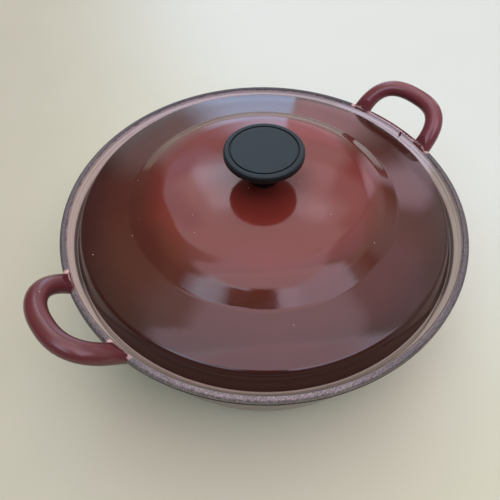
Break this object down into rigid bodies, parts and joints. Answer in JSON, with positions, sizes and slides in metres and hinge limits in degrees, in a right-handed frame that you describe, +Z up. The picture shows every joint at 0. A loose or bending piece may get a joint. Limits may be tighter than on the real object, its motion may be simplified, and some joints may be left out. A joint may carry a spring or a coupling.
{
  "type": "dutch oven",
  "caption": "Round enamelled cast-iron dutch oven with tapered sides, a loop handle on each side and a domed drop-in lid with a black mushroom knob.",
  "frame": {"origin": "centre of the pot's flat base, at the height of the surface that it stands on", "axes": "+Z up along the axis of pot, lid and knob; the loop handles point along +X and -X"},
  "size_m": [0.3242, 0.272, 0.1458],
  "materials": {
    "maroon_enamel": "glossy maroon vitreous enamel outside, glossy cream enamel inside and on the lid's underside, worn bare mauve-grey iron on the rim's band",
    "black_phenolic": "satin black moulded phenolic, slightly greyed on top",
    "brass": "turned brass",
    "plated_steel": "zinc-plated steel, slightly dulled"
  },
  "bodies": {
    "pot": {"pot": "maroon_enamel"},
    "lid": {"lid": "maroon_enamel", "knob": "black_phenolic", "knob_insert": "brass", "knob_screw": "plated_steel", "knob_washer": "plated_steel"}
  },
  "joints": [
    {"name": "lid_lift", "type": "slide", "parent": "pot", "child": "lid", "axis": [0, 0, 1], "range_m": [0, 0.12]}
  ]
}
